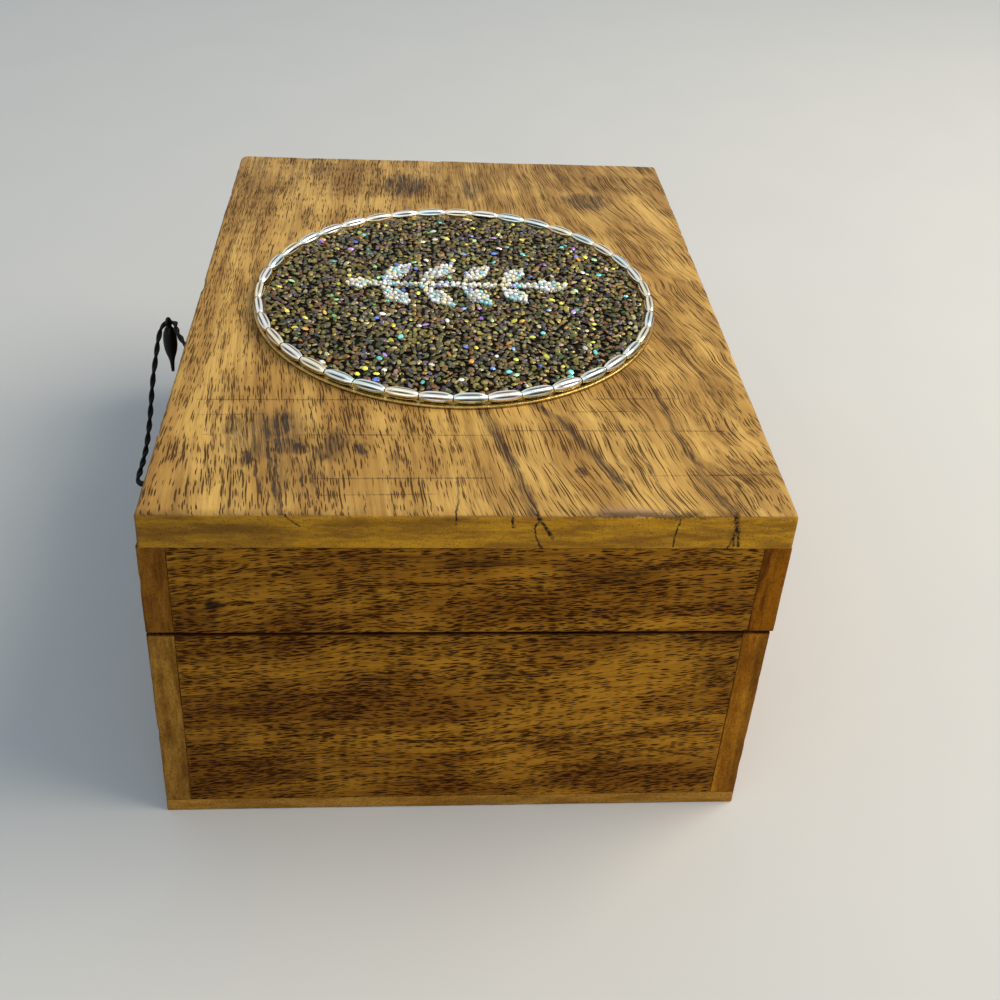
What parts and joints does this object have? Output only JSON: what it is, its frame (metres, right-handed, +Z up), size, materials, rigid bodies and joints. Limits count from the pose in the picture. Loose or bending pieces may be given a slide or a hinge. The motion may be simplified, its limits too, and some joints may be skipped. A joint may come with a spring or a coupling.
{
  "type": "trinket box",
  "caption": "Rectangular wooden trinket box with a hinged lid, an oval beaded medallion on top and a pull cord with a toggle.",
  "frame": {"origin": "centre of the footprint, on the surface the box rests on", "axes": "+X from the cord side to the hinge side, +Y along the box, +Z up"},
  "size_m": [0.1426, 0.165, 0.0876],
  "materials": {
    "wood_top": "oiled, satin",
    "wood_side": "oiled, satin",
    "wood_end": "oiled, satin",
    "gold_edge": "metallic card",
    "dark_beads": "dark iridescent glitter",
    "silver_beads": "metallised silver",
    "clear_stones": "faceted, silver backed",
    "cord": "waxed",
    "black_plastic": "smooth",
    "brass": "satin"
  },
  "bodies": {
    "base": {"base_bottom": "wood_end", "base_side_clasp": "wood_side", "base_side_hinge": "wood_side", "base_end_near": "wood_side", "base_end_far": "wood_side", "hinge_near_base_leaf": "brass", "hinge_far_base_leaf": "brass", "hinge_near_pin": "brass", "hinge_far_pin": "brass", "hinge_screws_base": "brass"},
    "lid": {"lid_board": "wood_top", "lid_side_clasp": "wood_side", "lid_side_hinge": "wood_side", "lid_end_near": "wood_side", "lid_end_far": "wood_side", "medallion_backing": "gold_edge", "medallion_field": "dark_beads", "medallion_rim": "silver_beads", "medallion_sprig": "clear_stones", "pull_cord": "cord", "cord_toggle": "black_plastic", "cord_knot": "cord", "hinge_near_lid_leaf": "brass", "hinge_far_lid_leaf": "brass", "hinge_screws_lid": "brass"}
  },
  "joints": [
    {"name": "lid_hinge", "type": "hinge", "parent": "base", "child": "lid", "pos_m": [0.0629, 0, 0.0534], "axis": [0, 1, 0], "range_deg": [0, 105]}
  ]
}
